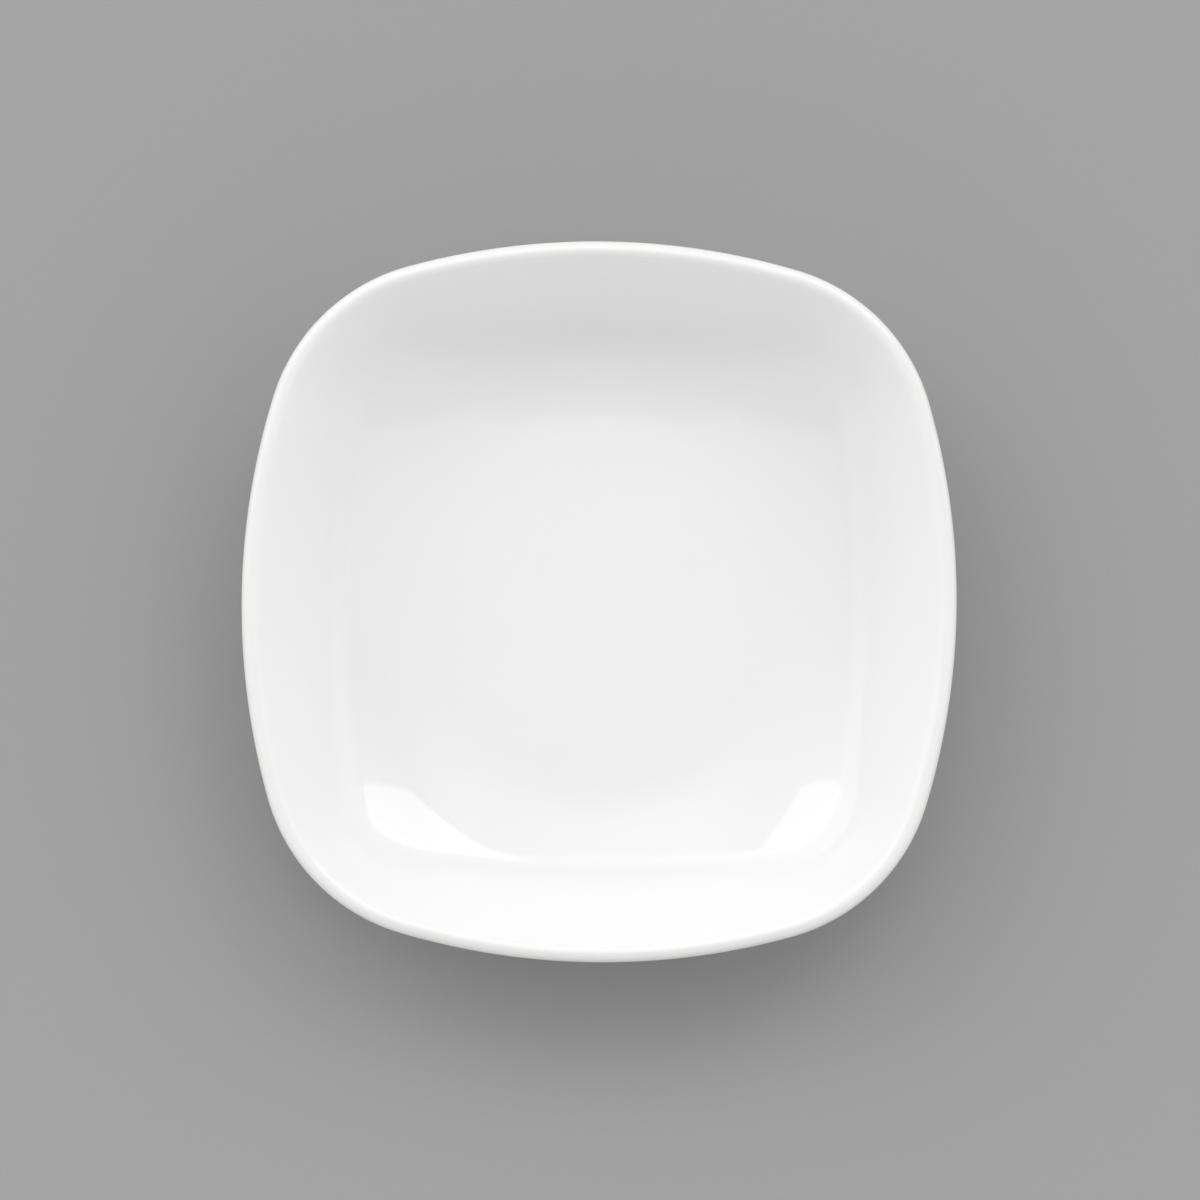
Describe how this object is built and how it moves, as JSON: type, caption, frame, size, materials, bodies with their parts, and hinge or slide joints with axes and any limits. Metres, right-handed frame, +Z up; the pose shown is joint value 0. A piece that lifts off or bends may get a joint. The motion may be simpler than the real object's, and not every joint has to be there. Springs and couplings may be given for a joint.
{
  "type": "deep plate",
  "caption": "Deep porcelain plate with a bowed square rim, a flared wall and a round dished floor on a foot ring; holds soup, pasta or salad.",
  "frame": {"origin": "middle of the foot ring's bearing face, on the table", "axes": "+Z up, +Y to the back of the plate, the side at the top of the picture, +X to its right"},
  "size_m": [0.21, 0.212, 0.038],
  "materials": {
    "biscuit": "matte",
    "glaze": "gloss"
  },
  "bodies": {
    "root": {"porcelain_body": "biscuit", "glaze_coat": "glaze", "foot_recess_glaze": "glaze"}
  },
  "joints": []
}
